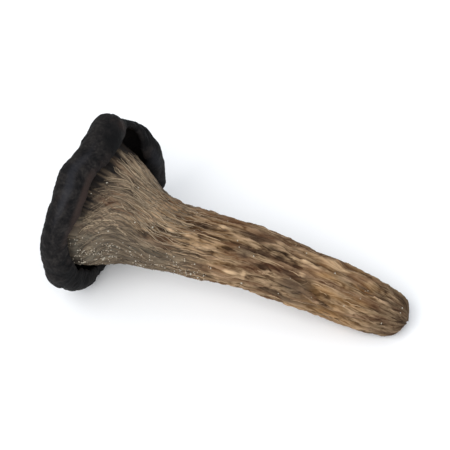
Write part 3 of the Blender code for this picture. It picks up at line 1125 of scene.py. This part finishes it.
def skin_fibril(dice, longest):
    """(points, how far it is of the funnel, how pale it may be) of a wavering fibril."""
    length = longest * dice.uniform(*FIBRIL_LENGTHS)
    on_flare = dice.random() < FUNNEL_SHARE
    start = dice.triangular(*FUNNEL_STARTS) if on_flare else dice.uniform(*STEM_STARTS)
    start = min(start, FUNNEL_ENDS - 0.5 - length)
    turn = dice.uniform(-180.0, 180.0)
    goal = grain_turn(turn, start)
    bend, wave = dice.uniform(-FIBRIL_BEND, FIBRIL_BEND), dice.uniform(*FIBRIL_WAVES)
    phase = dice.uniform(0.0, FULL_TURN)
    if not on_flare:
        bend, wave, length = STEM_BENDS * bend, STEM_BENDS * wave, STEM_LENGTHS * length
    steps = max(3, round(length / FIBRIL_STEP))
    points = []
    for step in range(steps + 1):
        share = step / steps
        along = start + length * share
        turn = follow(turn, along, goal)
        aside = bend * (share - share * share) + wave * math.sin(phase + 7.0 * share)
        aside = math.degrees(aside / skin_radius(along))
        points.append(funnel_point(turn + aside, along, 0.0))
    bloom = skin_tints(goal, start)[1]
    return points, ease(start, *FUNNEL_SKIN), 1.0 - 0.6 * bloom


def strand_fibril(dice, strand):
    """(points, how far it is of the funnel, how pale it may be) of a fibril in a strand."""
    places = [Vector(place) for place in strand]
    aside = dice.uniform(-STRAND_HALF, STRAND_HALF)
    first, last = dice.uniform(*STRAND_STARTS), dice.uniform(*STRAND_ENDS)
    steps = STRAND_STEPS * (len(strand) - 1)
    points = []
    for step in range(steps + 1):
        share = first + (last - first) * step / steps
        along, turn = through(places, share * (len(strand) - 1))
        points.append(funnel_point(turn + math.degrees(aside / skin_radius(along)), along, 0.0))
    return points, 1.0, STRAND_PALEST


def fibril_mesh(fibrils, origin):
    """Open chains of points along the grain, with how each is drawn there."""
    dice = random.Random(fibrils.seed)
    chains = [skin_fibril(dice, fibrils.length / MM) for _ in range(fibrils.count)]
    strand_dice = random.Random(fibrils.seed + 1)
    for strand in STRANDS:
        chains += [strand_fibril(strand_dice, strand) for _ in range(STRAND_FIBRILS)]
    points, edges, girths, stands, hues = [], [], [], [], []
    for chain, flare, palest in chains:
        loose = dice.random() ** 3
        tone = palest * dice.random() ** 1.3
        for step, point in enumerate(chain):
            share = step / (len(chain) - 1)
            points.append((point - origin) * MM)
            girths.append(0.25 + 0.75 * math.sin(math.pi * min(max(share, 0.02), 0.98)) ** 0.6)
            stands.append(loose * (2.0 * share - 1.0) ** 2)
            hues.append((tone, flare, 0.0))
            if step:
                edges.append((len(points) - 2, len(points) - 1))
    mesh = bpy.data.meshes.new("fibrils")
    mesh.from_pydata(points, edges, [])
    store(mesh, "girth", girths)
    store(mesh, "stands", stands)
    store(mesh, "hue", hues)
    return mesh


def fibril_tree(material):
    """Lays chains of points on the flesh and gives them a round section that tapers."""
    tree, given = new_tree("fibrils_on_flesh", Flesh="Object", Thickness="Float", Lift="Float")
    flesh = add(tree, "GeometryNodeObjectInfo", {"Object": given["Flesh"]}, output="Geometry")
    girth = add(tree, "GeometryNodeInputNamedAttribute", {"Name": "girth"}, data_type="FLOAT")
    stands = add(tree, "GeometryNodeInputNamedAttribute", {"Name": "stands"}, data_type="FLOAT")
    position = add(tree, "GeometryNodeInputPosition")
    nearest = {"Geometry": flesh, "Sample Position": position}
    on_skin = add(tree, "GeometryNodeProximity", nearest, target_element="FACES")
    outward = {"Mesh": flesh, "Value": add(tree, "GeometryNodeInputNormal"), "Sample Position": position}
    outward = add(tree, "GeometryNodeSampleNearestSurface", outward, data_type="FLOAT_VECTOR")
    sunk = add(tree, "ShaderNodeMath", {0: given["Thickness"], 1: 0.25}, operation="MULTIPLY")
    rise = add(tree, "ShaderNodeMath", {0: stands, 1: given["Lift"], 2: sunk}, operation="MULTIPLY_ADD")
    away = add(tree, "ShaderNodeVectorMath", {0: outward, "Scale": rise}, operation="SCALE")
    laid = add(tree, "ShaderNodeVectorMath", {0: on_skin, 1: away}, operation="ADD")
    chains = {"Geometry": given["Geometry"], "Position": laid}
    chains = kept_above(tree, add(tree, "GeometryNodeSetPosition", chains), FIBRIL_LOWEST * MM)
    curves = add(tree, "GeometryNodeMeshToCurve", {"Mesh": chains})
    half = add(tree, "ShaderNodeMath", {0: given["Thickness"], 1: 0.5}, operation="MULTIPLY")
    section = add(tree, "GeometryNodeCurvePrimitiveCircle", {"Resolution": 4, "Radius": half})
    swept = {"Curve": curves, "Profile Curve": section, "Scale": girth, "Fill Caps": True}
    swept = add(tree, "GeometryNodeCurveToMesh", swept)
    end_tree(tree, add(tree, "GeometryNodeRealizeInstances", {"Geometry": swept}), material)
    return tree


# The least and the most that a grain is scaled by, and the seed of its scale
SMALLEST_GRAIN = (0.25, 0.25, 0.2)
LARGEST_GRAIN = (1.0, 0.8, 0.6)
GRAIN_SEED = 5


def grit_tree(name, channel, material):
    """Scatters grains over the flesh, as thickly as a channel of its litter says."""
    tree, given = new_tree(name, Density="Float", Size="Float", Seed="Int")
    shares = add(tree, "GeometryNodeInputNamedAttribute", {"Name": "litter"}, data_type="FLOAT_VECTOR")
    share = add(tree, "ShaderNodeSeparateXYZ", {0: shares}, output=channel)
    per_area = add(tree, "ShaderNodeMath", {0: given["Density"], 1: 1.0 / MM**2}, operation="MULTIPLY")
    per_area = add(tree, "ShaderNodeMath", {0: per_area, 1: share}, operation="MULTIPLY")
    scatter = {"Mesh": given["Geometry"], "Density": per_area, "Seed": given["Seed"]}
    points = add(tree, "GeometryNodeDistributePointsOnFaces", scatter)
    turned = {1: (FULL_TURN, FULL_TURN, FULL_TURN)}
    turned = add(tree, "FunctionNodeRandomValue", turned, data_type="FLOAT_VECTOR")
    uneven = {0: SMALLEST_GRAIN, 1: LARGEST_GRAIN, "Seed": GRAIN_SEED}
    uneven = add(tree, "FunctionNodeRandomValue", uneven, data_type="FLOAT_VECTOR")
    grain = {"Radius": given["Size"], "Subdivisions": 1}
    grain = add(tree, "GeometryNodeMeshIcoSphere", grain)
    strewn = {"Points": points, "Instance": grain, "Rotation": turned, "Scale": uneven}
    strewn = add(tree, "GeometryNodeInstanceOnPoints", strewn)
    real = add(tree, "GeometryNodeRealizeInstances", {"Geometry": strewn})
    end_tree(tree, kept_above(tree, real, 0.0), material)
    return tree


def linked(name, data):
    """A new object, linked to the scene."""
    thing = bpy.data.objects.new(name, data)
    bpy.context.scene.collection.objects.link(thing)
    return thing


def dress(piece):
    """Says what a finished piece rides on."""
    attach(piece, BODY)


class MUSHROOM_OT_flesh(bpy.types.Operator):
    """Grow the fruit body's fine shell over its solid"""

    bl_idname = "mushroom.flesh"
    bl_label = "Grow Flesh"

    def execute(self, context):
        scene = context.scene
        mesh, origin = loft_flesh(scene.trumpet_lattice)
        piece = linked(TRUMPET, mesh)
        tree, values = relief_tree(scene.trumpet_relief, dried_flesh(scene.trumpet_colours))
        grow(piece, tree, values)
        piece["origin_mm"] = origin
        dress(piece)
        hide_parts(NODE)
        return {"FINISHED"}


class MUSHROOM_OT_fibrils(bpy.types.Operator):
    """Lay loose fibrils along the grain of the skin"""

    bl_idname = "mushroom.fibrils"
    bl_label = "Lay Fibrils"

    def execute(self, context):
        scene = context.scene
        fibrils = scene.trumpet_fibrils
        flesh = bpy.data.objects[TRUMPET]
        piece = linked("fibrils", fibril_mesh(fibrils, Vector(flesh["origin_mm"])))
        tree = fibril_tree(fibril_felt(scene.trumpet_colours))
        grow(piece, tree, {"Flesh": flesh, "Thickness": fibrils.thickness, "Lift": fibrils.lift})
        dress(piece)
        return {"FINISHED"}


class MUSHROOM_OT_grit(bpy.types.Operator):
    """Scatter soil and pale flakes on the skin"""

    bl_idname = "mushroom.grit"
    bl_label = "Scatter Grit"

    def execute(self, context):
        scene = context.scene
        grit, colours = scene.trumpet_grit, scene.trumpet_colours
        soil = crumbled("dry_forest_soil", colours.soil, colours.bark, SOIL_SPECK)
        flakes = crumbled("dried_skin_flakes", colours.flare_pale, colours.flake, FLAKE_SPECK)
        grains = (
            ("soil_crumbs", 0, soil, grit.soil_density, grit.soil_size),
            ("pale_flakes", 1, flakes, grit.flake_density, grit.flake_size),
        )
        for name, channel, material, density, size in grains:
            piece = linked(name, bpy.data.objects[TRUMPET].data.copy())
            values = {"Density": density, "Size": size, "Seed": grit.seed}
            grow(piece, grit_tree(name, channel, material), values)
            dress(piece)
        return {"FINISHED"}


class MUSHROOM_OT_stage(bpy.types.Operator):
    """Set the floor, the lights and the camera"""

    bl_idname = "mushroom.stage"
    bl_label = "Set Stage"

    def execute(self, context):
        stage = context.scene.trumpet_stage
        set_floor(stage)
        set_lights(context.scene, stage)
        set_camera(context.scene, stage)
        return {"FINISHED"}


# Half the floor's width and the place of the soft lamp, in metres
FLOOR_HALF = 3.0
LAMP_AT = (-0.2, -0.6, 0.8)


def set_floor(stage):
    """A plain floor of matt card, with no shine, wide enough to have no edge in any view."""
    signs = ((-1, -1), (1, -1), (1, 1), (-1, 1))
    mesh = bpy.data.meshes.new("floor")
    mesh.from_pydata([(x * FLOOR_HALF, y * FLOOR_HALF, 0.0) for x, y in signs], [], [(0, 1, 2, 3)])
    material, _, shader = new_material("matt_white_card", roughness=0.9, specular=0.1)
    shader.inputs["Base Color"].default_value = stage.floor
    mesh.materials.append(material)
    floor = linked("floor", mesh)


def set_lights(scene, stage):
    """Soft daylight from all round, and a broad soft lamp above and in front."""
    world = bpy.data.worlds.new("soft_daylight")
    world.use_nodes = True
    sky = world.node_tree.nodes["Background"]
    sky.inputs["Color"].default_value = stage.sky
    sky.inputs["Strength"].default_value = stage.sky_strength
    scene.world = world
    light = bpy.data.lights.new("soft_lamp", "AREA")
    light.energy = stage.lamp_power
    light.size = stage.lamp_size
    lamp = linked("soft_lamp", light)
    lamp.location = LAMP_AT
    lamp.rotation_euler = (-lamp.location).to_track_quat("-Z", "Y").to_euler()


def set_camera(scene, stage):
    """A camera at the photograph's angle, closer in on the one mushroom."""
    azimuth, elevation = stage.azimuth, stage.elevation
    out = Vector(
        (
            math.sin(azimuth) * math.cos(elevation),
            -math.cos(azimuth) * math.cos(elevation),
            math.sin(elevation),
        )
    )
    right = Vector((math.cos(azimuth), math.sin(azimuth), 0.0))
    up = out.cross(right)
    points = [vertex.co for vertex in bpy.data.objects[TRUMPET].data.vertices]
    across = [point.dot(right) for point in points]
    upward = [point.dot(up) for point in points]
    toward = [point.dot(out) for point in points]
    middles = [(min(reach) + max(reach)) / 2.0 for reach in (across, upward, toward)]
    target = right * middles[0] + up * middles[1] + out * middles[2]
    width = max(max(across) - min(across), max(upward) - min(upward)) / stage.fill
    data = bpy.data.cameras.new("camera")
    data.lens = data.sensor_width * stage.distance / width
    data.clip_start = 0.01
    data.clip_end = 10.0
    camera = linked("camera", data)
    camera.location = target + out * stage.distance
    camera.rotation_euler = out.to_track_quat("Z", "Y").to_euler()
    scene.camera = camera
    scene.view_settings.view_transform = "Standard"


class VIEW3D_PT_trumpet(bpy.types.Panel):
    """The steps of the mushroom, and their settings"""

    bl_label = "Trumpet Mushroom"
    bl_space_type = "VIEW_3D"
    bl_region_type = "UI"
    bl_category = "Mushroom"

    def draw(self, context):
        for heading, names, operators in PANEL_ROWS:
            box = self.layout.box()
            box.label(text=heading)
            for name in names:
                settings = getattr(context.scene, name)
                for field in settings.__annotations__:
                    box.prop(settings, field)
            for operator in operators:
                box.operator(operator)


PANEL_ROWS = [
    ("Flesh", ("trumpet_lattice", "trumpet_relief", "trumpet_colours"), ("mushroom.flesh",)),
    ("Fibrils", ("trumpet_fibrils",), ("mushroom.fibrils",)),
    ("Grit", ("trumpet_grit",), ("mushroom.grit",)),
    ("Stage", ("trumpet_stage",), ("mushroom.stage",)),
]

SETTINGS = {
    "trumpet_lattice": TrumpetLattice,
    "trumpet_relief": TrumpetRelief,
    "trumpet_fibrils": TrumpetFibrils,
    "trumpet_grit": TrumpetGrit,
    "trumpet_colours": TrumpetColours,
    "trumpet_stage": TrumpetStage,
}
OPERATORS = (MUSHROOM_OT_flesh, MUSHROOM_OT_fibrils, MUSHROOM_OT_grit, MUSHROOM_OT_stage)
CLASSES = (*SETTINGS.values(), *OPERATORS, VIEW3D_PT_trumpet)


def register():
    """Registers the add-on's classes, and its settings on the scene."""
    for each in CLASSES:
        bpy.utils.register_class(each)
    for name, group in SETTINGS.items():
        setattr(bpy.types.Scene, name, PointerProperty(type=group))


def unregister():
    """Undoes what register did."""
    for name in SETTINGS:
        delattr(bpy.types.Scene, name)
    for each in reversed(CLASSES):
        bpy.utils.unregister_class(each)


def main():
    """Builds the mushroom and its stage."""
    register()
    bpy.ops.mushroom.flesh()
    bpy.ops.mushroom.fibrils()
    bpy.ops.mushroom.grit()
    bpy.ops.mushroom.stage()


if __name__ == "__main__":
    main()
